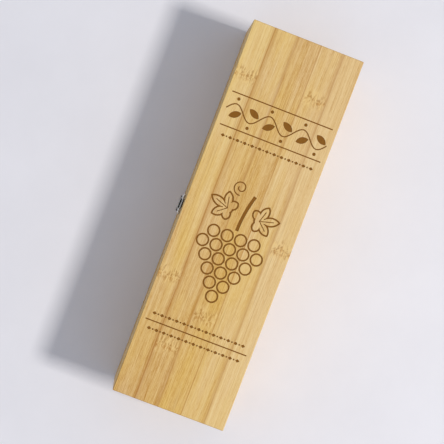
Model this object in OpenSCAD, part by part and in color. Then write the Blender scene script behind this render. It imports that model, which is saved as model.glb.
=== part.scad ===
// Hinged wooden box for one bottle of wine, lying on its back with the lid up.
// The origin is the middle of the underside. X runs along the box and the bottle's
// neck points to -X. -Y is the clasp side, +Y the hinge side and +Z is up.

/* [Box] */
// Outside length of the box
box_l = 352; // [320:1:420]
// Outside width, from the clasp side to the hinge side
box_w = 105; // [100:1:140]
// Outside height with the lid shut
box_h = 95; // [92:1:130]
// Height of the lid, its top board included
lid_h = 26; // [24:1:34]
// Thickness of the side walls and end walls
wall_t = 7; // [6:0.5:10]
// Thickness of the top board and the bottom board
board_t = 5; // [4:0.5:7]
// Gap at the seam between lid and body
seam_gap = 0.4; // [0.2:0.1:0.8]
// Chamfer that eases the outer edges
edge_ease = 0.6; // [0.2:0.1:1.2]
// Height that one finger of the corner joints aims for
finger_h = 9; // [6:1:14]

/* [Bottle rests] */
// Diameter of the bottle that the box is made for
bottle_d = 77; // [70:1:79]
// Diameter of the bottle's neck
neck_d = 30; // [26:0.5:34]
// Room round the bottle in its rests
bottle_gap = 0.5; // [0.2:0.1:1]
// Wood left under the bottle in the body rest
rest_floor = 4; // [3:0.5:5]
// Thickness of the two rests
rest_t = 8; // [6:0.5:12]
// Depth of the slots that hold the rests in the side walls
slot_depth = 2; // [1:0.5:3]
// From the inside of the neck end to the neck rest's middle
neck_rest_at = 62; // [45:1:80]
// From the inside of the other end to the body rest's middle
body_rest_at = 80; // [50:1:110]
// How far the body rest stays below the bottle's axis
body_rest_drop = 8; // [5:1:15]
// How far the neck rest rises above the bottle's axis
neck_rest_rise = 3; // [0:1:4]

/* [Hinges] */
// Length of one hinge along its pin
hinge_l = 25; // [22:1:36]
// From the box's end to the middle of the hinge
hinge_inset = 70; // [40:1:100]
// Height of one hinge leaf, measured from the pin
leaf_h = 10; // [9:0.5:14]
// Thickness of the leaves
leaf_t = 0.8; // [0.6:0.1:1]
// Outer radius of the hinge knuckle
knuckle_r = 1.4; // [1.2:0.05:1.8]
// Radius of the hinge pin
hinge_pin_r = 0.7; // [0.5:0.05:0.8]
// Number of knuckles on one hinge, always odd
knuckle_count = 5; // [3:2:7]

/* [Clasp] */
// Width of the clasp's two plates
clasp_w = 20; // [19.6:0.2:26]
// Thickness of the clasp's sheet metal
sheet_t = 0.6; // [0.5:0.1:0.8]
// Radius of the bail's wire
wire_r = 0.6; // [0.5:0.05:0.7]
// Width of the lever, over its two flanges
lever_w = 14.8; // [13:0.2:15]
// From the lever's pin down to its tip
lever_l = 19; // [17:0.5:22]
// From the lever's pin down to the bail's pivot
bail_arm = 6; // [5.5:0.1:6.5]
// From the seam down to the lever's pin
lever_pin_drop = 7; // [6:0.5:9]
// Radius of the lever's pin
lever_pin_r = 0.6; // [0.5:0.05:0.7]

/* [Screws] */
// Head radius of the hinge screws
hinge_head_r = 1.8; // [1.6:0.1:2.2]
// Shank radius of the hinge screws
hinge_shank_r = 0.9; // [0.7:0.05:1.1]
// Length of the hinge screws, head included
hinge_screw_l = 6.5; // [5:0.5:6.5]
// Head radius of the clasp screws
clasp_head_r = 1.5; // [1.2:0.1:1.8]
// Shank radius of the clasp screws
clasp_shank_r = 0.75; // [0.6:0.05:0.9]
// Length of the clasp screws, head included
clasp_screw_l = 5.5; // [4:0.5:6]

/* [Engraving] */
// Depth of the burnt lines in the lid
burn_depth = 0.4; // [0.2:0.1:1]
// Width of the thin burnt lines
line_w = 1.1; // [0.7:0.1:1.6]
// Width of the bold burnt lines
bold_w = 1.5; // [1:0.1:2]
// Margin between the engraved bands and the lid's long edges
band_margin = 4.5; // [3:0.5:12]
// Radius of one grape
grape_r = 6; // [5:0.1:6.4]
// Gap between neighbouring grapes
grape_gap = 0.8; // [0.5:0.1:1.5]
// Length of the vine leaves, from the stalk to the tip
leaf_l = 19; // [15:0.5:21]

/* [Hidden] */
$fn = 48;

bamboo = "#dcb679";
bamboo_side = "#cfa768";
nickel = "#c9c8c4";
steel = "#b4b4b2";

over = 1;         // how far a cutting shape runs past what it cuts
run_fit = 0.05;   // radial clearance of a pin that turns
wood_fit = 0.05;  // clearance of a screw in its hole and of a rest in its slots

seam_z = box_h - lid_h;
body_h = seam_z - seam_gap;
inner_l = box_l - 2 * wall_t;
inner_w = box_w - 2 * wall_t;
front_y = -box_w / 2;
back_y = box_w / 2;

bottle_axis_z = board_t + rest_floor + bottle_gap + bottle_d / 2;
neck_rest_x = -inner_l / 2 + neck_rest_at;
body_rest_x = inner_l / 2 - body_rest_at;
neck_rest_top = bottle_axis_z + neck_rest_rise;
body_rest_top = bottle_axis_z - body_rest_drop;

knuckle_gap = 0.2;                                    // between the knuckles and the back wall
knuckle_side_gap = 0.2;                               // between two knuckles
hinge_y = back_y + knuckle_r + knuckle_gap;
hinge_z = seam_z - seam_gap / 2;
knuckle_l = hinge_l / knuckle_count;
leaf_screw_x = hinge_l / 4;
leaf_screw_z = (leaf_h + knuckle_r + knuckle_gap) / 2;
hinge_a_x = -box_l / 2 + hinge_inset;
hinge_b_x = box_l / 2 - hinge_inset;

// The clasp is laid out in a plane of its own: out is the distance from the front
// face, and up is the height above the lever's pin.
lever_pin_z = seam_z - lever_pin_drop;
swing_gap = 0.15;                                     // between a part that swings and its neighbour
lever_swing_r = 1.1;                                  // the flanges' corner round the lever's pin
lever_pin_out = sheet_t + swing_gap + lever_swing_r;
ear_r = 1.15;                                         // the ears' rounding round the lever's pin
ear_foot = 1.5;                                       // half the height of an ear at its foot
ear_x = lever_w / 2 - sheet_t - swing_gap;            // outer face of the ears
lever_plate_out = lever_pin_out + ear_r + swing_gap;  // inner face of the lever's plate
lever_top_up = 1.1;
over_centre = 0.25;                                   // what keeps the shut lever shut
bail_out = lever_pin_out - over_centre;
bail_x = lever_w / 2 + 0.9 + wire_r;                  // middle of the bail's legs
bail_end_x = lever_w / 2 - sheet_t - 2 * swing_gap;
bail_bend_r = 1.4;
seam_to_hook = 0.6;
hook_r = 1.45;                                        // middle of the hook's curled sheet
hook_w = 9;
hook_up = lever_pin_drop + seam_to_hook + hook_r + sheet_t / 2;
hook_lip = 0.6;                                       // straight end of the hook's curl
wire_seat = 0.1;                                      // what the wire clears in the hook
bail_top_up = hook_up - hook_r + sheet_t / 2 + wire_r + wire_seat;
catch_w = clasp_w - 2;
catch_low = hook_up + 2.5;                            // lower edge of the catch's wide plate
catch_h = 7.5;
catch_screw_x = catch_w / 2 - 3;
catch_screw_up = catch_low + catch_h / 2;
base_top_up = 3;
base_h = lever_l + base_top_up + 1.5;
base_screw_x = clasp_w / 2 - 2.6;
base_screw_up = 4.4 - lever_l;

// ---- general shapes ----

// Points on an arc round c, from angle a0 to a1.
function arc(c, r, a0, a1, n = 10) =
    [for (i = [0:n]) let (a = a0 + (a1 - a0) * i / n) c + r * [cos(a), sin(a)]];

// Unit normal of a path at its point i.
function path_normal(path, i) =
    let (a = path[max(i - 1, 0)], b = path[min(i + 1, len(path) - 1)], d = (b - a) / norm(b - a))
    [-d[1], d[0]];

// A strip of width w along a path.
module ribbon(path, w) {
    last = len(path) - 1;
    polygon(concat(
        [for (i = [0:last]) path[i] + path_normal(path, i) * w / 2],
        [for (i = [last:-1:0]) path[i] - path_normal(path, i) * w / 2]
    ));
}

// Rectangle round the origin with its corners cut at 45 degrees.
module cut_rectangle(w, h, cut) {
    x = w / 2;
    y = h / 2;
    polygon([
        [-x + cut, -y], [x - cut, -y], [x, -y + cut], [x, y - cut],
        [x - cut, y], [-x + cut, y], [-x, y - cut], [-x, -y + cut]
    ]);
}

// A block over the whole footprint, from z0 to z1, with all its edges eased.
module eased_block(z0, z1) {
    h = z1 - z0;
    translate([0, 0, (z0 + z1) / 2])
        intersection() {
            linear_extrude(h, center = true) cut_rectangle(box_l, box_w, edge_ease);
            rotate([90, 0, 0]) linear_extrude(box_w, center = true) cut_rectangle(box_l, h, edge_ease);
            rotate([90, 0, 90]) linear_extrude(box_l, center = true) cut_rectangle(box_w, h, edge_ease);
        }
}

// Countersunk screw along Z: the flat head's face at z = 0, the point below.
module screw(head_r, shank_r, length) {
    head_t = head_r - shank_r;
    tip_h = 2 * shank_r;
    recess_w = head_r * 0.26;
    recess_l = head_r * 1.3;
    recess_d = head_t * 0.55;
    difference() {
        union() {
            translate([0, 0, -head_t]) cylinder(h = head_t, r1 = shank_r, r2 = head_r);
            translate([0, 0, tip_h - length]) cylinder(h = length - tip_h - head_t, r = shank_r);
            translate([0, 0, -length]) cylinder(h = tip_h, r1 = shank_r / 4, r2 = shank_r);
        }
        translate([0, 0, over / 2 - recess_d]) cube([recess_l, recess_w, over], center = true);
        translate([0, 0, over / 2 - recess_d]) cube([recess_w, recess_l, over], center = true);
    }
}

// The hole for such a screw through sheet metal of thickness t, below z = 0.
module countersink(head_r, shank_r, t) {
    head_t = head_r - shank_r;
    translate([0, 0, -head_t])
        cylinder(h = head_t + wood_fit, r1 = shank_r + wood_fit, r2 = head_r + 2 * wood_fit);
    translate([0, 0, -t - over]) cylinder(h = t + over, r = shank_r + wood_fit);
}

// The hole for such a screw in the wood, from the wood's face at z = 0.
module pilot(head_r, shank_r, length, t) {
    head_t = head_r - shank_r;
    translate([0, 0, t - length - wood_fit]) cylinder(h = length - t + over, r = shank_r + wood_fit);
    if (head_t > t)
        translate([0, 0, t - head_t])
            cylinder(h = head_t - t + wood_fit, r1 = shank_r + wood_fit, r2 = shank_r + head_t - t + 2 * wood_fit);
}

// Turns Z to point out of the back, and out of the front.
module out_of_back(x, y, z) {
    translate([x, y, z]) rotate([-90, 0, 0]) children();
}

module out_of_front(x, y, z) {
    translate([x, y, z]) rotate([90, 0, 0]) children();
}

// ---- walls with finger joints ----

// The number of fingers in a wall of height h is odd, so both its ends match.
function finger_count(h) = 2 * floor(h / (2 * finger_h)) + 1;

// Every second finger's slab in the corners, for the wall from z0 to z1.
module finger_slabs(z0, z1) {
    n = finger_count(z1 - z0);
    step = (z1 - z0) / n;
    for (i = [1:2:n - 1])
        translate([0, 0, z0 + i * step]) linear_extrude(step) children();
}

// A side wall with its outer face at side * box_w / 2: it carries fingers 0, 2, 4 and so on.
module side_wall(side, z0, z1) {
    difference() {
        translate([-box_l / 2, side > 0 ? back_y - wall_t : front_y, z0]) cube([box_l, wall_t, z1 - z0]);
        for (end = [-1, 1])
            finger_slabs(z0, z1)
                translate([end * (box_l - wall_t + over) / 2, side * (box_w - wall_t) / 2])
                    square([wall_t + over, wall_t + 2 * over], center = true);
    }
}

// An end wall with its outer face at end * box_l / 2: it fills what the side walls leave.
module end_wall(end, z0, z1) {
    x = end * (box_l - wall_t) / 2;
    translate([x, 0, (z0 + z1) / 2]) cube([wall_t, inner_w, z1 - z0], center = true);
    finger_slabs(z0, z1)
        translate([x, 0]) square([wall_t, box_w], center = true);
}

// The slot in the side walls for a rest whose top is at z.
module rest_slot(x, z) {
    slot_w = rest_t + 2 * wood_fit;
    translate([x - slot_w / 2, -inner_w / 2 - slot_depth, board_t - over])
        cube([slot_w, inner_w + 2 * slot_depth, z - board_t + over]);
}

module hinge_screw_places(up) {
    for (x = [hinge_a_x, hinge_b_x], side = [-1, 1])
        translate([x + side * leaf_screw_x, 0, hinge_z + up * leaf_screw_z]) children();
}

module hinge_pilots(up) {
    hinge_screw_places(up)
        out_of_back(0, back_y, 0) pilot(hinge_head_r, hinge_shank_r, hinge_screw_l, leaf_t);
}

module base_screw_places() {
    for (side = [-1, 1])
        translate([side * base_screw_x, 0, lever_pin_z + base_screw_up]) children();
}

module catch_screw_places() {
    for (side = [-1, 1])
        translate([side * catch_screw_x, 0, lever_pin_z + catch_screw_up]) children();
}

module clasp_pilot() {
    out_of_front(0, front_y, 0) pilot(clasp_head_r, clasp_shank_r, clasp_screw_l, sheet_t);
}

// ---- body ----

module bottom_board() {
    color(bamboo_side)
        intersection() {
            eased_block(0, body_h);
            translate([-box_l / 2, front_y, 0]) cube([box_l, box_w, board_t]);
        }
}

module front_wall() {
    color(bamboo_side)
        difference() {
            intersection() {
                eased_block(0, body_h);
                side_wall(-1, board_t, body_h);
            }
            rest_slot(neck_rest_x, neck_rest_top);
            rest_slot(body_rest_x, body_rest_top);
            base_screw_places() clasp_pilot();
        }
}

module back_wall() {
    color(bamboo_side)
        difference() {
            intersection() {
                eased_block(0, body_h);
                side_wall(1, board_t, body_h);
            }
            rest_slot(neck_rest_x, neck_rest_top);
            rest_slot(body_rest_x, body_rest_top);
            hinge_pilots(-1);
        }
}

module body_end_wall(end) {
    color(bamboo_side)
        intersection() {
            eased_block(0, body_h);
            end_wall(end, board_t, body_h);
        }
}

// A board across the box with a round-bottomed notch of radius r, open to the top.
module bottle_rest(x, top, r) {
    length = inner_w + 2 * (slot_depth - wood_fit);
    color(bamboo)
        difference() {
            translate([x - rest_t / 2, -length / 2, board_t]) cube([rest_t, length, top - board_t]);
            translate([x - rest_t, 0, bottle_axis_z]) rotate([0, 90, 0]) cylinder(h = 2 * rest_t, r = r);
            if (top > bottle_axis_z)
                translate([x - rest_t, -r, bottle_axis_z]) cube([2 * rest_t, 2 * r, top]);
        }
}

// ---- lid ----

module lid_board() {
    color(bamboo)
        difference() {
            intersection() {
                eased_block(seam_z, box_h);
                translate([-box_l / 2, front_y, box_h - board_t]) cube([box_l, box_w, board_t]);
            }
            engraving();
        }
}

module lid_front_rail() {
    color(bamboo_side)
        difference() {
            intersection() {
                eased_block(seam_z, box_h);
                side_wall(-1, seam_z, box_h - board_t);
            }
            catch_screw_places() clasp_pilot();
        }
}

module lid_back_rail() {
    color(bamboo_side)
        difference() {
            intersection() {
                eased_block(seam_z, box_h);
                side_wall(1, seam_z, box_h - board_t);
            }
            hinge_pilots(1);
        }
}

module lid_end_rail(end) {
    color(bamboo_side)
        intersection() {
            eased_block(seam_z, box_h);
            end_wall(end, seam_z, box_h - board_t);
        }
}

// ---- engraving, drawn on a page whose top is the neck end ----

// Sinks a flat drawing into the lid's top face.
module burn() {
    translate([0, 0, box_h - burn_depth])
        linear_extrude(burn_depth + over) rotate(90) children();
}

module rule_line(y, w) {
    burn() translate([0, y]) square([box_w - 2 * band_margin, w], center = true);
}

// A leaf shaped like a lens, from the origin along +X, drawn in by inset all round.
module lens_leaf(length, width, inset = 0) {
    r = (length * length + width * width) / (4 * width);
    intersection() {
        translate([length / 2, width / 2 - r]) circle(r - inset);
        translate([length / 2, r - width / 2]) circle(r - inset);
    }
}

// A running vine between two rules, with a leaf at each crest.
module vine_band(y, height) {
    run = box_w - 2 * band_margin;
    waves = 3;
    amplitude = height * 0.2;
    sprig_l = height * 0.38;
    steps = 48;
    rule_line(y + height / 2, line_w);
    rule_line(y - height / 2, line_w);
    burn() translate([0, y])
        ribbon([for (i = [0:steps]) [run * (i / steps - 0.5), amplitude * sin(360 * waves * i / steps)]], line_w);
    for (i = [0:2 * waves - 1]) {
        up = i % 2 == 0 ? 1 : -1;
        x = run * ((i + 0.5) / (2 * waves) - 0.5);
        burn() translate([x - sprig_l * 0.3, y - up * amplitude])
            rotate(up * 30) lens_leaf(sprig_l, sprig_l * 0.5);
        burn() translate([x, y + up * amplitude * 1.75]) circle(bold_w);
    }
}

// A row of small diamonds with a dot between each two.
module diamond_row(y) {
    size = 4;
    pitch = 7;
    count = floor((box_w - 2 * band_margin - size) / (2 * pitch));
    for (i = [-count:count])
        burn() translate([i * pitch, y])
            polygon([[-size / 2, 0], [0, -size / 2.5], [size / 2, 0], [0, size / 2.5]]);
    for (i = [-count:count - 1])
        burn() translate([(i + 0.5) * pitch, y]) circle(line_w * 0.7);
}

// The five lobes of a vine leaf, drawn in by inset all round.
module leaf_lobes(length, inset = 0) {
    circle(length * 0.3 - inset);
    for (lobe = [[0, 1], [58, 0.82], [-58, 0.82], [118, 0.58], [-118, 0.58]])
        rotate(lobe[0]) lens_leaf(length * lobe[1], length * 0.48, inset);
}

// A vine leaf with its outline, its midrib and its side ribs.
module leaf_motif(x, y, turn, length) {
    rib_w = line_w * 0.75;
    burn() translate([x, y]) rotate(turn)
        difference() {
            leaf_lobes(length);
            leaf_lobes(length, bold_w);
        }
    burn() translate([x, y]) rotate(turn)
        for (rib = [[0, 0.7], [58, 0.55], [-58, 0.55]])
            rotate(rib[0]) translate([-rib_w / 2, -rib_w / 2]) square([length * rib[1], rib_w]);
}

// A bunch of grapes hung under (0, top), as rings in rows that narrow downwards.
module grape_bunch(top) {
    rows = [4, 5, 4, 3, 2, 1];
    pitch = 2 * grape_r + grape_gap;
    row_step = pitch * sin(60);
    for (j = [0:len(rows) - 1], i = [0:rows[j] - 1])
        burn() translate([(i - (rows[j] - 1) / 2) * pitch, top - grape_r - j * row_step])
            difference() {
                circle(grape_r);
                circle(grape_r - bold_w);
            }
}

// A tendril that winds in to a quarter of its radius over the given turn.
module tendril(x, y, start, turn, r) {
    steps = 30;
    burn() translate([x, y])
        ribbon([for (i = [0:steps]) let (t = i / steps, a = start + turn * t) r * (1 - 0.75 * t) * [cos(a), sin(a)]],
            line_w);
}

module engraving() {
    bunch_top = -6;
    stalk_l = 34;
    vine_band(94, 31);
    diamond_row(70);
    grape_bunch(bunch_top);
    burn() ribbon([for (t = [0:0.125:1]) [5 * t * t, bunch_top + grape_gap + stalk_l * t]], 2 * bold_w);
    leaf_motif(-15, bunch_top + 17, 160, leaf_l);
    leaf_motif(16, bunch_top + 16, 15, leaf_l);
    tendril(-10, bunch_top + stalk_l + 4, -80, -480, 7);
    diamond_row(-99);
    rule_line(-106, line_w);
    diamond_row(-113);
}

// ---- hinges ----

// One leaf, drawn as the body's: first is the index of its first knuckle.
module hinge_leaf_shape(first, bore_r) {
    plate_top = -knuckle_r - knuckle_gap;
    difference() {
        union() {
            translate([-hinge_l / 2, 0, -leaf_h]) cube([hinge_l, leaf_t, leaf_h + plate_top]);
            for (i = [first:2:knuckle_count - 1]) {
                x0 = -hinge_l / 2 + i * knuckle_l + (i > 0 ? knuckle_side_gap / 2 : 0);
                x1 = -hinge_l / 2 + (i + 1) * knuckle_l - (i < knuckle_count - 1 ? knuckle_side_gap / 2 : 0);
                translate([x0, 0, plate_top - 0.5]) cube([x1 - x0, leaf_t, 0.5 - plate_top]);
                translate([x0, hinge_y - back_y, 0]) rotate([0, 90, 0]) cylinder(h = x1 - x0, r = knuckle_r);
            }
        }
        translate([-hinge_l / 2 - over, hinge_y - back_y, 0])
            rotate([0, 90, 0]) cylinder(h = hinge_l + 2 * over, r = bore_r);
        for (side = [-1, 1])
            out_of_back(side * leaf_screw_x, leaf_t, -leaf_screw_z)
                countersink(hinge_head_r, hinge_shank_r, leaf_t);
    }
}

module hinge_body_leaf(x) {
    color(nickel) translate([x, back_y, hinge_z]) hinge_leaf_shape(0, hinge_pin_r);
}

module hinge_lid_leaf(x) {
    color(nickel) translate([x, back_y, hinge_z]) mirror([0, 0, 1]) hinge_leaf_shape(1, hinge_pin_r + run_fit);
}

module hinge_pin(x) {
    proud = 0.4;
    color(steel)
        translate([x - hinge_l / 2 - proud, hinge_y, hinge_z])
            rotate([0, 90, 0]) cylinder(h = hinge_l + 2 * proud, r = hinge_pin_r);
}

module hinge_screws(up) {
    color(steel)
        hinge_screw_places(up)
            out_of_back(0, back_y + leaf_t, 0) screw(hinge_head_r, hinge_shank_r, hinge_screw_l);
}

// ---- clasp ----

// Puts a drawing made in (out, up) on the front, as a plate from x0 to x1.
module clasp_plate(x0, x1) {
    translate([x0, front_y, lever_pin_z])
        rotate([90, 0, 90]) mirror([1, 0, 0]) linear_extrude(x1 - x0) children();
}

// A hole or a pin along X through the clasp at (out, up), over both halves.
module clasp_rod(out, up, half_l, r) {
    translate([0, front_y - out, lever_pin_z + up])
        rotate([0, 90, 0]) cylinder(h = 2 * half_l, r = r, center = true);
}

// Two sheet metal cheeks of the same outline, with their outer faces at x and -x.
module clasp_cheeks(x) {
    clasp_plate(x - sheet_t, x) children();
    clasp_plate(-x, sheet_t - x) children();
}

// The plate on the body, with two ears that hold the lever's pin.
module clasp_base() {
    color(nickel)
        difference() {
            union() {
                clasp_plate(-clasp_w / 2, clasp_w / 2)
                    translate([0, base_top_up - base_h]) square([sheet_t, base_h]);
                clasp_cheeks(ear_x)
                    polygon(concat(
                        [[sheet_t / 2, -ear_foot]],
                        arc([lever_pin_out, 0], ear_r, -90, 90),
                        [[sheet_t / 2, ear_foot]]
                    ));
            }
            clasp_rod(lever_pin_out, 0, ear_x + over, lever_pin_r);
            base_screw_places()
                out_of_front(0, front_y - sheet_t, 0) countersink(clasp_head_r, clasp_shank_r, sheet_t);
        }
}

// The lever's pin, with a flat head outside each flange.
module clasp_lever_pin() {
    head_t = 0.35;
    head_gap = 0.05;
    head_r = lever_pin_r + 0.35;
    half_l = lever_w / 2 + head_gap + head_t;
    color(steel) {
        clasp_rod(lever_pin_out, 0, half_l, lever_pin_r);
        difference() {
            clasp_rod(lever_pin_out, 0, half_l, head_r);
            clasp_rod(lever_pin_out, 0, half_l - head_t, head_r + over);
        }
    }
}

// The lever's plate with its tip curled out, and the two flanges that hold the pivots.
module clasp_lever() {
    curl_r = 4;
    curl_angle = 20;
    flange_cut = 0.8;
    plate_mid = lever_plate_out + sheet_t / 2;
    curl_up = curl_r * sin(curl_angle) - lever_l;
    flange_in = lever_pin_out - lever_swing_r;
    flange_low = -bail_arm - wire_r - 1.6;
    color(nickel)
        difference() {
            union() {
                clasp_plate(-lever_w / 2, lever_w / 2)
                    ribbon(concat(
                        [[plate_mid, lever_top_up]],
                        arc([plate_mid + curl_r, curl_up], curl_r, 180, 180 + curl_angle)
                    ), sheet_t);
                clasp_cheeks(lever_w / 2)
                    polygon(concat(
                        arc([lever_pin_out, 0], lever_swing_r, 180, 90),
                        [[plate_mid, lever_top_up], [plate_mid, flange_low - lever_plate_out + flange_in],
                         [flange_in + flange_cut, flange_low], [flange_in, flange_low + flange_cut]]
                    ));
            }
            clasp_rod(lever_pin_out, 0, lever_w / 2 + over, lever_pin_r + run_fit);
            clasp_rod(bail_out, -bail_arm, lever_w / 2 + over, wire_r + run_fit);
        }
}

// The wire loop: a bar over the hook, two legs, and two ends that turn in to the lever.
module clasp_bail() {
    color(steel)
        translate([0, front_y - bail_out, lever_pin_z]) {
            translate([-bail_x + bail_bend_r, 0, bail_top_up])
                rotate([0, 90, 0]) cylinder(h = 2 * (bail_x - bail_bend_r), r = wire_r);
            for (side = [0, 1]) mirror([side, 0, 0]) {
                translate([bail_x, 0, -bail_arm + bail_bend_r])
                    cylinder(h = bail_top_up + bail_arm - 2 * bail_bend_r, r = wire_r);
                translate([bail_x - bail_bend_r, 0, bail_top_up - bail_bend_r])
                    rotate([90, 0, 0]) rotate_extrude(angle = 90) translate([bail_bend_r, 0]) circle(wire_r);
                translate([bail_x - bail_bend_r, 0, -bail_arm + bail_bend_r])
                    rotate([90, 90, 0]) rotate_extrude(angle = 90) translate([bail_bend_r, 0]) circle(wire_r);
                translate([bail_end_x, 0, -bail_arm])
                    rotate([0, 90, 0]) cylinder(h = bail_x - bail_bend_r - bail_end_x, r = wire_r);
            }
        }
}

// The catch on the lid: a flat plate whose middle runs down and curls out into a hook.
module clasp_catch() {
    hook_out = sheet_t / 2 + hook_r;
    color(nickel)
        difference() {
            union() {
                clasp_plate(-catch_w / 2, catch_w / 2)
                    translate([0, catch_low]) square([sheet_t, catch_h]);
                clasp_plate(-hook_w / 2, hook_w / 2)
                    ribbon(concat(
                        [[sheet_t / 2, catch_low + over]],
                        arc([hook_out, hook_up], hook_r, 180, 360, 16),
                        [[hook_out + hook_r, hook_up + hook_lip]]
                    ), sheet_t);
            }
            catch_screw_places()
                out_of_front(0, front_y - sheet_t, 0) countersink(clasp_head_r, clasp_shank_r, sheet_t);
        }
}

module clasp_screw() {
    out_of_front(0, front_y - sheet_t, 0) screw(clasp_head_r, clasp_shank_r, clasp_screw_l);
}

bottom_board();
front_wall();
back_wall();
body_end_wall(-1);  // neck_end_wall
body_end_wall(1);  // base_end_wall
bottle_rest(neck_rest_x, neck_rest_top, neck_d / 2 + bottle_gap);  // neck_rest
bottle_rest(body_rest_x, body_rest_top, bottle_d / 2 + bottle_gap);  // body_rest
hinge_body_leaf(hinge_a_x);  // hinge_a_body_leaf
hinge_body_leaf(hinge_b_x);  // hinge_b_body_leaf
hinge_pin(hinge_a_x);  // hinge_a_pin
hinge_pin(hinge_b_x);  // hinge_b_pin
hinge_screws(-1);  // hinge_body_screws
clasp_base();
color(steel) base_screw_places() clasp_screw();  // clasp_base_screws
clasp_lever_pin();
lid_board();
lid_front_rail();
lid_back_rail();
lid_end_rail(-1);  // lid_neck_end_rail
lid_end_rail(1);  // lid_base_end_rail
hinge_lid_leaf(hinge_a_x);  // hinge_a_lid_leaf
hinge_lid_leaf(hinge_b_x);  // hinge_b_lid_leaf
hinge_screws(1);  // hinge_lid_screws
clasp_catch();
color(steel) catch_screw_places() clasp_screw();  // clasp_catch_screws
clasp_lever();
clasp_bail();
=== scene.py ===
import bpy
from math import cos, radians, sin
from mathutils import Euler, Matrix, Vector

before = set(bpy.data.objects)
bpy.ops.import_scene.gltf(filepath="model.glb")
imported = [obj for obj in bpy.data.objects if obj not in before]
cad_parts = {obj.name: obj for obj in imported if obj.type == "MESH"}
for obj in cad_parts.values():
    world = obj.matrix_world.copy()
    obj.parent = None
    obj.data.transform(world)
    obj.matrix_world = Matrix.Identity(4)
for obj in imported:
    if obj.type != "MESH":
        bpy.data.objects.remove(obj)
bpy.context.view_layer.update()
print("frame loaded:", len(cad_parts), "pieces")

mm = 0.001                            # a millimetre in the scene's metres
quarter = radians(90)
mixFrom, mixTo, mixed = 6, 7, 2       # a Mix node's two colour inputs and its colour output


def linearColour(hexText):
    # sRGB hex to linear light by the sRGB curve, with an alpha of 1
    parts = [int(hexText[i:i + 2], 16) / 255 for i in (1, 3, 5)]
    return tuple(c / 12.92 if c <= 0.04045 else ((c + 0.055) / 1.055) ** 2.4 for c in parts) + (1.0,)


def addNode(tree, kind, settings=None, links=None, stops=None):
    # one shader node with its settings, its links and, on a colour ramp, its stops:
    # a link's source is a node or (node, output), and a stop is a position and a colour
    node = tree.nodes.new(kind)
    for key, value in (settings or {}).items():
        if isinstance(key, str) and hasattr(node, key):
            setattr(node, key, value)
        else:
            node.inputs[key].default_value = value
    for key, source in (links or {}).items():
        source, output = source if isinstance(source, tuple) else (source, 0)
        tree.links.new(source.outputs[output], node.inputs[key])
    if stops:
        # the two stops of a new ramp go, one before and one after, as a ramp can't be empty
        elements = node.color_ramp.elements
        elements.remove(elements[0])
        for position, colour in stops:
            elements.new(position).color = colour
        elements.remove(elements[-1])
    return node


def newMaterial(name):
    material = bpy.data.materials.new(name)
    material.use_nodes = True
    tree = material.node_tree
    tree.nodes.clear()
    return material, tree


# Laminated moso bamboo, planed, sanded and left bare: satin straw-coloured strips about 22 mm wide,
# fine fibres and short dark bundles along them, a thin glue line between them, and a darker, more
# open end grain. The lid's engraving is burnt to a dull brown.
bamboo = {
    "golden": ("#f0cf86", "#e3b965", "#bb7e1e"),   # pale, middle and dark
    "beige": ("#f1d39a", "#e2bb7d", "#bd842c"),
    "toneStops": (0.2, 0.5, 0.8),     # the tones of pale, middle and dark
    "bundle": "#a06818",
    "glue": "#aa660a",
    "endGrain": "#ba8944",
    "burnt": "#784a04",
    "burntPale": "#986318",
    "roughness": 0.48,
    "roughnessSpread": 0.2,           # between the smoothest fibres and the roughest
    "burntRoughness": 0.25,           # more than the bare wood's
    "specular": 0.25,                 # half of the usual, as open fibres scatter it
    "relief": 0.00003,                # m
    "reliefStrength": 0.6,
    "stripWidth": 21.9,               # mm
    "stripNumber": 50,                # of the strip that starts at -stripShift; none is negative
    "seamWidth": 0.8,                 # mm
    # noise drawn out along the grain: width and length in mm, octaves and the finer ones' strength
    "fibres": (0.6, 40.0, 3.0, 0.8),
    "bundles": (0.66, 60.0, 1.0, 0.6),
    "streaks": (3.4, 160.0, 3.0, 0.6),
    "pores": (0.36, 4.8, 2.0, 0.7),
    "grainTwist": 0.2,
    "grainJump": (700.0, 40.0, 90.0),   # mm, the most that the grain moves on from strip to strip
    "bundleRange": (0.56, 0.74),      # the noise from which a dash sets in and is full
    "patchScale": (0.012, 0.07, 0.07),   # patches per mm along, across and into the board
    "beigeRange": (0.28, 0.72),       # the patch noise that is all golden and all beige
    "endFacing": (0.6, 0.9),          # how squarely a face cuts the grain, to show it and in full
    "endShare": 0.6,
    "burntFrom": (0.05, 0.2),         # mm below the top face, where the burnt colour sets in and is full
    "burntTo": 0.6,                   # mm below the top face, deeper than any groove
}

# At each old node of the culm: a comb of short dark and bleached strokes, a broken dark line and a
# few rusty flecks, which end short of the seams.
culmNode = {
    "bleached": "#f0cc85",
    "stroke": "#a66a14",
    "rust": "#bd7e2a",
    "reach": 14.0,                    # mm along the grain to either side
    "seamGap": 0.8,                   # mm
    "bend": 12.0,                     # mm, the most that its line wanders
    # noise, in waves per mm along, across and into the board
    "wave": (0.02, 0.15, 0.0),
    "comb": (0.16, 0.62, 0.5),
    "blot": (0.3, 0.28, 0.3),
    "octaves": 2.0,
    "twist": 0.25,
    # colour, noise, mm from the line where it fades in and where it fades out, the noise from which
    # a stroke sets in and is full, and strength
    "marks": (
        ("bleached", "blot", (-12.0, -4.0), (12.0, 4.0), (0.0, 0.1), 0.25),
        ("rust", "blot", (-0.5, 1.5), (8.0, 3.0), (0.46, 0.6), 0.55),
        ("bleached", "comb", (-8.0, -4.0), (11.0, 5.0), (0.46, 0.38), 0.7),
        ("stroke", "comb", (-9.0, -3.0), (9.0, 3.0), (0.5, 0.62), 0.5),
        ("bleached", "comb", (0.5, 1.0), (2.2, 1.4), (0.4, 0.5), 0.4),
        ("stroke", "comb", (-1.2, -0.3), (1.2, 0.3), (0.42, 0.56), 0.4),
    ),
}


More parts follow.
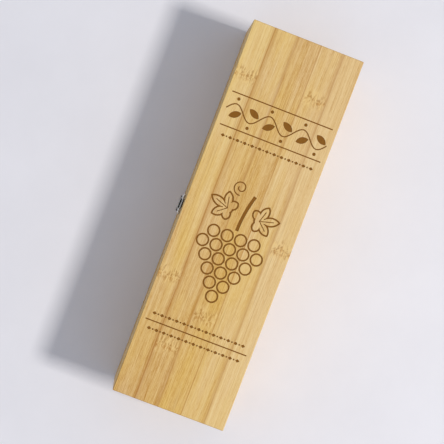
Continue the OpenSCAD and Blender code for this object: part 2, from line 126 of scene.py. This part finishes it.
def chosenLooks(tree, board, stripAt):
    # the looks chosen for a board's strips, one after another from its -Y edge
    count = len(board["strips"])
    alongLooks = addNode(tree, "ShaderNodeMapRange",
                         {"From Min": board["firstStrip"], "From Max": board["firstStrip"] + count},
                         {"Value": stripAt})
    looks = addNode(tree, "ShaderNodeValToRGB", None, {0: alongLooks},
                    [(index / count, look) for index, look in enumerate(board["strips"])])
    looks.color_ramp.interpolation = "CONSTANT"
    return looks


def culmNodeMarks(tree, board, turned, moved, colour):
    # the signed distance along the grain from the nearest culm node in this strip, if one is near
    beyond, near = None, None
    for nodePlace in board["culmNodes"]:
        toNode = addNode(tree, "ShaderNodeVectorMath", {"operation": "SUBTRACT", 1: (*nodePlace, 0.0)},
                         {0: turned})
        toAxes = addNode(tree, "ShaderNodeSeparateXYZ", None, {0: toNode})
        sideways = addNode(tree, "ShaderNodeMath", {"operation": "ABSOLUTE"}, {0: (toAxes, "Y")})
        inStrip = addNode(tree, "ShaderNodeMath",
                          {"operation": "LESS_THAN", 1: bamboo["stripWidth"] / 2 - culmNode["seamGap"]},
                          {0: sideways})
        inReach = addNode(tree, "ShaderNodeMath", {"operation": "COMPARE", 1: 0.0, 2: culmNode["reach"]},
                          {0: (toAxes, "X")})
        here = addNode(tree, "ShaderNodeMath", {"operation": "MULTIPLY"}, {0: inStrip, 1: inReach})
        fromHere = addNode(tree, "ShaderNodeMath", {"operation": "MULTIPLY"}, {0: here, 1: (toAxes, "X")})
        if near is None:
            beyond, near = fromHere, here
        else:
            beyond = addNode(tree, "ShaderNodeMath", {"operation": "ADD"}, {0: beyond, 1: fromHere})
            near = addNode(tree, "ShaderNodeMath", {"operation": "MAXIMUM"}, {0: near, 1: here})

    noises = {}
    for kind in ("wave", "comb", "blot"):
        drawn = addNode(tree, "ShaderNodeVectorMath", {"operation": "MULTIPLY", 1: culmNode[kind]},
                        {0: moved})
        noises[kind] = addNode(tree, "ShaderNodeTexNoise",
                               {"Scale": 1.0, "Detail": culmNode["octaves"], "Roughness": 0.6,
                                "Distortion": culmNode["twist"]}, {"Vector": drawn})
    bent = addNode(tree, "ShaderNodeMath",
                   {"operation": "MULTIPLY_ADD", 1: culmNode["bend"], 2: -culmNode["bend"] / 2},
                   {0: noises["wave"]})
    fromLine = addNode(tree, "ShaderNodeMath", {"operation": "ADD"}, {0: beyond, 1: bent})
    for tint, kind, fadeIn, fadeOut, (setsIn, isFull), strength in culmNode["marks"]:
        amount = near
        for start, full in (fadeIn, fadeOut):
            fade = addNode(tree, "ShaderNodeMapRange",
                           {"interpolation_type": "SMOOTHSTEP", "From Min": start, "From Max": full},
                           {"Value": fromLine})
            amount = addNode(tree, "ShaderNodeMath", {"operation": "MULTIPLY"}, {0: amount, 1: fade})
        stroke = addNode(tree, "ShaderNodeMapRange",
                         {"interpolation_type": "SMOOTHSTEP", "From Min": setsIn, "From Max": isFull,
                          "To Max": strength}, {"Value": noises[kind]})
        amount = addNode(tree, "ShaderNodeMath", {"operation": "MULTIPLY"}, {0: amount, 1: stroke})
        colour = addNode(tree, "ShaderNodeMix", {"data_type": "RGBA", mixTo: linearColour(culmNode[tint])},
                         {0: amount, mixFrom: (colour, mixed)})
    return colour


def burntGrooves(tree, board, axes, fibres, colour, shine):
    # the burnt grooves are what lies just below the top face, inside its eased edge
    top, halfLength, halfWidth = board["engraved"]
    start, full = bamboo["burntFrom"]
    depth = addNode(tree, "ShaderNodeMapRange", {"From Min": top - start, "From Max": top - full},
                    {"Value": (axes, "Z")})
    above = addNode(tree, "ShaderNodeMath", {"operation": "GREATER_THAN", 1: top - bamboo["burntTo"]},
                    {0: (axes, "Z")})
    inGroove = addNode(tree, "ShaderNodeMath", {"operation": "MULTIPLY"}, {0: depth, 1: above})
    for axis, half in (("X", halfLength), ("Y", halfWidth)):
        size = addNode(tree, "ShaderNodeMath", {"operation": "ABSOLUTE"}, {0: (axes, axis)})
        within = addNode(tree, "ShaderNodeMath", {"operation": "LESS_THAN", 1: half}, {0: size})
        inGroove = addNode(tree, "ShaderNodeMath", {"operation": "MULTIPLY"}, {0: inGroove, 1: within})
    scorch = addNode(tree, "ShaderNodeMix",
                     {"data_type": "RGBA", mixFrom: linearColour(bamboo["burnt"]),
                      mixTo: linearColour(bamboo["burntPale"])}, {0: fibres})
    colour = addNode(tree, "ShaderNodeMix", {"data_type": "RGBA"},
                     {0: inGroove, mixFrom: (colour, mixed), mixTo: (scorch, mixed)})
    shine = addNode(tree, "ShaderNodeMath", {"operation": "MULTIPLY_ADD", 1: bamboo["burntRoughness"]},
                    {0: inGroove, 2: shine})
    return colour, shine


def bambooMaterial(name, board):
    # the board's turn brings the grain to X and its width to Y, and all that follows is in mm
    material, tree = newMaterial(name)
    place = addNode(tree, "ShaderNodeTexCoord")
    turned = addNode(tree, "ShaderNodeMapping",
                     {"vector_type": "TEXTURE", "Rotation": board["turn"], "Scale": (mm, mm, mm)},
                     {"Vector": (place, "Object")})
    axes = addNode(tree, "ShaderNodeSeparateXYZ", None, {0: turned})

    # which strip this is, and its look: tone, how beige, and how much darker and more golden along it
    width = bamboo["stripWidth"]
    stripAt = addNode(tree, "ShaderNodeMath",
                      {"operation": "MULTIPLY_ADD", 1: 1 / width,
                       2: board["stripShift"] / width + bamboo["stripNumber"]}, {0: (axes, "Y")})
    strip = addNode(tree, "ShaderNodeMath", {"operation": "FLOOR"}, {0: stripAt})
    stripSeed = addNode(tree, "ShaderNodeMath", {"operation": "ADD", 1: board["seed"]}, {0: strip})
    chance = addNode(tree, "ShaderNodeTexWhiteNoise", {"noise_dimensions": "1D"}, {"W": stripSeed})
    looks = chosenLooks(tree, board, stripAt) if board["strips"] else None
    look = addNode(tree, "ShaderNodeSeparateColor", None, {0: looks or (chance, "Color")})

    # fibres, bundles, streaks and pores are noise drawn out along the grain, moved on from strip to strip
    jump = addNode(tree, "ShaderNodeVectorMath", {"operation": "MULTIPLY", 1: bamboo["grainJump"]},
                   {0: (chance, "Color")})
    moved = addNode(tree, "ShaderNodeVectorMath", {"operation": "ADD"}, {0: turned, 1: jump})
    noises = {}
    for kind in ("fibres", "bundles", "streaks", "pores"):
        wide, long, octaves, fineness = bamboo[kind]
        drawn = addNode(tree, "ShaderNodeVectorMath",
                        {"operation": "MULTIPLY", 1: (1 / long, 1 / wide, 1 / wide)}, {0: moved})
        noises[kind] = addNode(tree, "ShaderNodeTexNoise",
                               {"Scale": 1.0, "Detail": octaves, "Roughness": fineness,
                                "Distortion": bamboo["grainTwist"]}, {"Vector": drawn})
    fibres = noises["fibres"]

    # tone: 0 is pale and 1 is dark
    shares = [board[share] for share in ("fibreTone", "streakTone", "stripTone", "poreTone")]
    tone = addNode(tree, "ShaderNodeMath",
                   {"operation": "MULTIPLY_ADD", 1: shares[0], 2: 0.5 - sum(shares) / 2}, {0: fibres})
    for share, source in zip(shares[1:], (noises["streaks"], (look, 0), noises["pores"])):
        tone = addNode(tree, "ShaderNodeMath", {"operation": "MULTIPLY_ADD", 1: share},
                       {0: source, 2: tone})
    if board["strips"]:
        darker = addNode(tree, "ShaderNodeMath",
                         {"operation": "MULTIPLY_ADD", 1: board["stripSlope"], 2: -board["stripSlope"] / 2},
                         {0: (look, 2)})
        tone = addNode(tree, "ShaderNodeMath", {"operation": "MULTIPLY_ADD"},
                       {0: (axes, "X"), 1: darker, 2: tone})
    woods = []
    for tint in ("golden", "beige"):
        shades = [linearColour(shade) for shade in bamboo[tint]]
        woods.append(addNode(tree, "ShaderNodeValToRGB", None, {0: tone}, zip(bamboo["toneStops"], shades)))

    # golden and beige patches, a few centimetres long, and a lean to one or the other in each strip
    patchPlace = addNode(tree, "ShaderNodeVectorMath", {"operation": "MULTIPLY", 1: bamboo["patchScale"]},
                         {0: moved})
    patches = addNode(tree, "ShaderNodeTexNoise", {"Scale": 1.0, "Detail": 3.0, "Roughness": 0.6},
                      {"Vector": patchPlace})
    lean = addNode(tree, "ShaderNodeMath",
                   {"operation": "MULTIPLY_ADD", 1: board["stripLean"], 2: -board["stripLean"] / 2},
                   {0: (look, 1)})
    if board["strips"]:
        golden = addNode(tree, "ShaderNodeMath",
                         {"operation": "MULTIPLY_ADD", 1: -board["stripSlope"], 2: board["stripSlope"] / 2},
                         {0: (looks, "Alpha")})
        lean = addNode(tree, "ShaderNodeMath", {"operation": "MULTIPLY_ADD"},
                       {0: (axes, "X"), 1: golden, 2: lean})
    leaning = addNode(tree, "ShaderNodeMath", {"operation": "ADD"}, {0: patches, 1: lean})
    beigeShare = addNode(tree, "ShaderNodeMapRange",
                         {"From Min": bamboo["beigeRange"][0], "From Max": bamboo["beigeRange"][1]},
                         {"Value": leaning})
    colour = addNode(tree, "ShaderNodeMix", {"data_type": "RGBA"},
                     {0: beigeShare, mixFrom: woods[0], mixTo: woods[1]})

    # bundles: dark dashes
    dashes = addNode(tree, "ShaderNodeMapRange",
                     {"interpolation_type": "SMOOTHSTEP", "From Min": bamboo["bundleRange"][0],
                      "From Max": bamboo["bundleRange"][1], "To Max": board["bundleTone"]},
                     {"Value": noises["bundles"]})
    colour = addNode(tree, "ShaderNodeMix", {"data_type": "RGBA", mixTo: linearColour(bamboo["bundle"])},
                     {0: dashes, mixFrom: (colour, mixed)})

    # glue lines, with the darker rind beside some of them
    inStrip = addNode(tree, "ShaderNodeMath", {"operation": "FRACT"}, {0: stripAt})
    offMiddle = addNode(tree, "ShaderNodeMath", {"operation": "SUBTRACT", 1: 0.5}, {0: inStrip})
    towardSeam = addNode(tree, "ShaderNodeMath", {"operation": "ABSOLUTE"}, {0: offMiddle})
    seam = addNode(tree, "ShaderNodeMapRange",
                   {"interpolation_type": "SMOOTHSTEP", "From Min": 0.5 - bamboo["seamWidth"] / width,
                    "From Max": 0.5, "To Max": board["seamTone"]}, {"Value": towardSeam})
    for seamPlace, reach, depth in board["darkSeams"]:
        away = addNode(tree, "ShaderNodeMath", {"operation": "SUBTRACT", 1: seamPlace}, {0: (axes, "Y")})
        awaySize = addNode(tree, "ShaderNodeMath", {"operation": "ABSOLUTE"}, {0: away})
        rind = addNode(tree, "ShaderNodeMapRange",
                       {"interpolation_type": "SMOOTHSTEP", "From Min": reach, "From Max": 0.0,
                        "To Max": depth}, {"Value": awaySize})
        seam = addNode(tree, "ShaderNodeMath", {"operation": "MAXIMUM"}, {0: seam, 1: rind})
    colour = addNode(tree, "ShaderNodeMix", {"data_type": "RGBA", mixTo: linearColour(bamboo["glue"])},
                     {0: seam, mixFrom: (colour, mixed)})

    if board["culmNodes"]:
        colour = culmNodeMarks(tree, board, turned, moved, colour)

    # end grain: darker, and dotted by the same fibres seen on end
    grain = Vector((1, 0, 0))
    grain.rotate(Euler(board["turn"]))
    facing = addNode(tree, "ShaderNodeVectorMath", {"operation": "DOT_PRODUCT", 1: tuple(grain)},
                     {0: (place, "Normal")})
    facingSize = addNode(tree, "ShaderNodeMath", {"operation": "ABSOLUTE"}, {0: (facing, "Value")})
    onEnd = addNode(tree, "ShaderNodeMapRange",
                    {"From Min": bamboo["endFacing"][0], "From Max": bamboo["endFacing"][1],
                     "To Max": bamboo["endShare"]}, {"Value": facingSize})
    colour = addNode(tree, "ShaderNodeMix", {"data_type": "RGBA", mixTo: linearColour(bamboo["endGrain"])},
                     {0: onEnd, mixFrom: (colour, mixed)})

    spread = bamboo["roughnessSpread"]
    shine = addNode(tree, "ShaderNodeMath",
                    {"operation": "MULTIPLY_ADD", 1: spread, 2: bamboo["roughness"] - spread / 2},
                    {0: fibres})
    if board["engraved"]:
        colour, shine = burntGrooves(tree, board, axes, fibres, colour, shine)
    bump = addNode(tree, "ShaderNodeBump",
                   {"Strength": bamboo["reliefStrength"], "Distance": bamboo["relief"]}, {"Height": fibres})
    shader = addNode(tree, "ShaderNodeBsdfPrincipled",
                     {"IOR": 1.5, "Specular IOR Level": bamboo["specular"]},
                     {"Base Color": (colour, mixed), "Roughness": shine, "Normal": bump})
    addNode(tree, "ShaderNodeOutputMaterial", None, {"Surface": shader})
    return material


plainBoard = {
    "turn": (0, 0, 0),
    "stripShift": 0.0,        # mm from the origin to a seam, toward -Y
    "seed": 0.0,              # which strips are drawn, and their grain
    # how strongly each of these darkens the wood, and how far strips lean to golden or beige
    "seamTone": 0.5,
    "fibreTone": 0.84,
    "streakTone": 0.46,
    "stripTone": 0.3,
    "poreTone": 0.65,
    "stripLean": 0.17,
    "bundleTone": 0.27,
    # one look for each strip from the -Y edge, or none where they are drawn at random: its tone,
    # how beige it is, and how much darker and more golden it grows toward +X, each from 0 to 1
    "strips": (),
    "firstStrip": 49.0,       # the number of the strip at the -Y edge
    "stripSlope": 0.004,      # the most a look changes per mm
    "darkSeams": (),          # across and reach in mm, and tone
    "culmNodes": (),          # along and across, mm
    "engraved": (),           # top face, and the half length and half width inside its eased edge, mm
}
lidLook = plainBoard | {
    "stripShift": 31.9,
    "seed": 8.0,
    "stripLean": 0.6,
    "strips": (
        (0.25, 0.5, 0.7, 0.35),
        (0.45, 0.6, 0.6, 0.5),
        (0.6, 0.45, 0.5, 0.8),
        (0.25, 0.65, 0.45, 0.75),
        (0.15, 0.95, 0.45, 0.8),
    ),
    "darkSeams": ((-31.4, 4.6, 0.32), (-31.9, 1.2, 0.7), (-10.6, 3.2, 0.3), (33.2, 3.0, 0.3)),
    "culmNodes": ((-127, -42), (61, -42), (-129, 23), (6, 44.5), (87, 1), (121, -21)),
    "engraved": (95.0, 175.3, 51.8),
}
bottomLook = plainBoard | {
    "stripShift": 8.0,
    "seed": 21.0,
    "culmNodes": ((-90, 13.9), (40, -29.9), (120, 35.8), (-20, -8)),
}
sideLook = plainBoard | {
    "turn": (quarter, 0, 0),
    "stripShift": 4.0,
    "seed": 11.0,
    "culmNodes": ((-70, 28.8), (45, 50.7), (100, 7), (-140, 72.6), (20, 89)),
}
endLook = plainBoard | {
    "turn": (quarter, 0, quarter),
    "stripShift": 4.0,
    "seed": 31.0,
    "culmNodes": ((10, 28.8), (-30, 72.6)),
}
restLook = plainBoard | {
    "turn": (quarter, 0, quarter),
    "stripShift": 9.0,
    "seed": 43.0,
    "culmNodes": ((-34, 23.9),),
}


# Bright nickel plating on pressed, drawn or turned steel: a faintly warm grey mirror, softened by a
# fine orange peel, with hairline rubs along the sheet or wire and duller spots where fingers touch.
nickel = {
    "clean": "#e2dfd9",
    "dull": "#d6d3cc",
    "peelWidth": 0.7,         # mm
    "peelRelief": 0.000004,   # m
    "peelStrength": 0.6,
    "rubWidth": 0.12,         # mm, drawn coarser than real hairlines so that they show
    "rubLength": 5.0,         # mm
    "rubRelief": 0.000002,    # m
    "rubRoughness": 0.12,     # added by the deepest rubs
    "spotWidth": 3.0,         # mm
    "spotRange": (0.5, 0.75),   # the noise from which a spot sets in and is full
    "spotRoughness": 0.06,    # added by a full spot
    "cleanRoughness": -0.02,  # added all over, so that clean metal is a little smoother
}


def nickelMaterial(name, roughness, rubs):
    # the rubs run along x, and their depth is 0 to 1
    material, tree = newMaterial(name)
    place = addNode(tree, "ShaderNodeTexCoord")
    inMm = addNode(tree, "ShaderNodeVectorMath", {"operation": "SCALE", "Scale": 1 / mm},
                   {0: (place, "Object")})
    noises = []
    for long, wide, octaves in ((nickel["peelWidth"], nickel["peelWidth"], 2.0),
                                (nickel["spotWidth"], nickel["spotWidth"], 3.0),
                                (nickel["rubLength"], nickel["rubWidth"], 2.0)):
        drawn = addNode(tree, "ShaderNodeVectorMath",
                        {"operation": "MULTIPLY", 1: (1 / long, 1 / wide, 1 / wide)}, {0: inMm})
        noises.append(addNode(tree, "ShaderNodeTexNoise",
                              {"Scale": 1.0, "Detail": octaves, "Roughness": 0.6}, {"Vector": drawn}))
    peel, spots, hairs = noises
    dulled = addNode(tree, "ShaderNodeMapRange",
                     {"interpolation_type": "SMOOTHSTEP", "From Min": nickel["spotRange"][0],
                      "From Max": nickel["spotRange"][1]}, {"Value": spots})
    colour = addNode(tree, "ShaderNodeMix",
                     {"data_type": "RGBA", mixFrom: linearColour(nickel["clean"]),
                      mixTo: linearColour(nickel["dull"])}, {0: dulled})
    shine = addNode(tree, "ShaderNodeMath",
                    {"operation": "MULTIPLY_ADD", 1: nickel["spotRoughness"],
                     2: roughness + nickel["cleanRoughness"]}, {0: dulled})
    shine = addNode(tree, "ShaderNodeMath", {"operation": "MULTIPLY_ADD", 1: nickel["rubRoughness"] * rubs},
                    {0: hairs, 2: shine})
    waved = addNode(tree, "ShaderNodeBump",
                    {"Strength": nickel["peelStrength"], "Distance": nickel["peelRelief"]}, {"Height": peel})
    rubbed = addNode(tree, "ShaderNodeBump", {"Strength": rubs, "Distance": nickel["rubRelief"]},
                     {"Height": hairs, "Normal": waved})
    shader = addNode(tree, "ShaderNodeBsdfPrincipled", {"Metallic": 1.0},
                     {"Base Color": (colour, mixed), "Roughness": shine, "Normal": rubbed})
    addNode(tree, "ShaderNodeOutputMaterial", None, {"Surface": shader})
    return material


lidBamboo = bambooMaterial("sandedBambooLid", lidLook)
bottomBamboo = bambooMaterial("sandedBambooBottom", bottomLook)
sideBamboo = bambooMaterial("sandedBambooSides", sideLook)
endBamboo = bambooMaterial("sandedBambooEnds", endLook)
restBamboo = bambooMaterial("sawnBambooRests", restLook)
plateNickel = nickelMaterial("brightNickelPressings", 0.05, 0.5)
wireNickel = nickelMaterial("brightNickelWire", 0.04, 0.3)
screwNickel = nickelMaterial("tumbledNickelScrews", 0.24, 0.2)

finishes = {
    lidBamboo: ["lid_board"],
    bottomBamboo: ["bottom_board"],
    sideBamboo: ["front_wall", "back_wall", "lid_front_rail", "lid_back_rail"],
    endBamboo: ["neck_end_wall", "base_end_wall", "lid_neck_end_rail", "lid_base_end_rail"],
    restBamboo: ["neck_rest", "body_rest"],
    plateNickel: ["hinge_a_body_leaf", "hinge_b_body_leaf", "hinge_a_lid_leaf", "hinge_b_lid_leaf",
                  "clasp_base", "clasp_lever", "clasp_catch"],
    wireNickel: ["hinge_a_pin", "hinge_b_pin", "clasp_lever_pin", "clasp_bail"],
    screwNickel: ["hinge_body_screws", "hinge_lid_screws", "clasp_base_screws", "clasp_catch_screws"],
}
for material, nodes in finishes.items():
    for node in nodes:
        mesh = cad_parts[node].data
        mesh.materials.clear()
        mesh.materials.append(material)
print("finishes given")


# A plain pale floor, a pale sky and one soft lamp high on the hinge side.
studio = {
    "floorTones": ((0.3, "#eae8ec"), (0.7, "#efedf1")),   # on the mottle's noise
    "mottleScale": 9.0,           # waves per m
    "floorRoughness": 0.9,
    "floorSize": 12.0,            # m
    "skyColour": "#e4eaf6",
    "skyStrength": 0.62,
    # the sine of the height above the horizon, and the sky's level there
    "skyLevels": ((0.0, 0.15), (0.25, 0.15), (0.55, 1.0), (1.0, 1.0)),
    "backgroundLevels": ((0.0, 1.0), (0.78, 1.0), (0.84, 0.02)),
    "lampDistance": 3.8,          # m
    "lampShift": -0.06,           # m, toward the neck end
    "lampElevation": 53.5,        # degrees, from the hinge side
    "lampSize": 0.52,             # m
    "lampPower": 87.5,            # W
    "lampColour": "#fffdfa",
    "cameraPlace": (0.01095, -0.08762, 1.36061),
    "cameraTurn": (-0.81545, -3.20673, 110.97272),   # degrees
    "lens": 115.77,               # mm
    "sensor": 36,                 # mm
}


def floorMaterial():
    # honed pale plaster: matt, with a barely seen mottle
    material, tree = newMaterial("palePlasterFloor")
    place = addNode(tree, "ShaderNodeTexCoord")
    mottle = addNode(tree, "ShaderNodeTexNoise",
                     {"Scale": studio["mottleScale"], "Detail": 6.0, "Roughness": 0.6},
                     {"Vector": (place, "Object")})
    tones = [(position, linearColour(tone)) for position, tone in studio["floorTones"]]
    colour = addNode(tree, "ShaderNodeValToRGB", None, {0: mottle}, tones)
    shader = addNode(tree, "ShaderNodeBsdfPrincipled", {"Roughness": studio["floorRoughness"], "IOR": 1.45},
                     {"Base Color": colour})
    addNode(tree, "ShaderNodeOutputMaterial", None, {"Surface": shader})
    return material


def makeFloor():
    half = studio["floorSize"] / 2
    corners = [(-half, -half, 0), (half, -half, 0), (half, half, 0), (-half, half, 0)]
    mesh = bpy.data.meshes.new("floor")
    mesh.from_pydata(corners, [], [(0, 1, 2, 3)])
    mesh.materials.append(floorMaterial())
    floor = bpy.data.objects.new("floor", mesh)
    bpy.context.collection.objects.link(floor)


def makeLamp():
    # one soft square lamp that aims at the middle of the box's underside
    lamp = bpy.data.lights.new("softLamp", "AREA")
    lamp.shape = "SQUARE"
    lamp.size = studio["lampSize"]
    lamp.energy = studio["lampPower"]
    lamp.color = linearColour(studio["lampColour"])[:3]
    tilt = radians(studio["lampElevation"])
    distance = studio["lampDistance"]
    place = Vector((studio["lampShift"], cos(tilt) * distance, sin(tilt) * distance))
    holder = bpy.data.objects.new("softLamp", lamp)
    holder.location = place
    holder.rotation_euler = (-place).to_track_quat("-Z", "Y").to_euler()
    bpy.context.collection.objects.link(holder)


def makeSky():
    # the sky that lights the box is dim by the horizon and bright above it, and what the camera and
    # polished metal see is pale all round, with a dark ceiling overhead
    world = bpy.data.worlds.new("paleSky")
    bpy.context.scene.world = world
    world.use_nodes = True
    tree = world.node_tree
    tree.nodes.clear()
    place = addNode(tree, "ShaderNodeTexCoord")
    axes = addNode(tree, "ShaderNodeSeparateXYZ", None, {0: (place, "Generated")})
    ramps = []
    for levels in (studio["skyLevels"], studio["backgroundLevels"]):
        greys = [(height, (level, level, level, 1)) for height, level in levels]
        ramps.append(addNode(tree, "ShaderNodeValToRGB", None, {0: (axes, "Z")}, greys))
    lit = addNode(tree, "ShaderNodeMath", {"operation": "MULTIPLY", 1: studio["skyStrength"]},
                  {0: ramps[0]})
    rays = addNode(tree, "ShaderNodeLightPath")
    seen = addNode(tree, "ShaderNodeMath", {"operation": "MAXIMUM"},
                   {0: (rays, "Is Camera Ray"), 1: (rays, "Is Glossy Ray")})
    seen = addNode(tree, "ShaderNodeMath", {"operation": "MAXIMUM"},
                   {0: seen, 1: (rays, "Is Transmission Ray")})
    strength = addNode(tree, "ShaderNodeMapRange", None, {"Value": seen, "To Min": lit, "To Max": ramps[1]})
    sky = addNode(tree, "ShaderNodeBackground", {"Color": linearColour(studio["skyColour"])},
                  {"Strength": strength})
    addNode(tree, "ShaderNodeOutputWorld", None, {"Surface": sky})


def makeCamera():
    lens = bpy.data.cameras.new("camera")
    lens.lens = studio["lens"]
    lens.sensor_width = studio["sensor"]
    camera = bpy.data.objects.new("camera", lens)
    camera.location = studio["cameraPlace"]
    camera.rotation_euler = tuple(radians(angle) for angle in studio["cameraTurn"])
    bpy.context.collection.objects.link(camera)
    bpy.context.scene.camera = camera


makeFloor()
makeLamp()
makeSky()
makeCamera()
bpy.context.scene.view_settings.view_transform = "Standard"
print("floor, light and camera set")
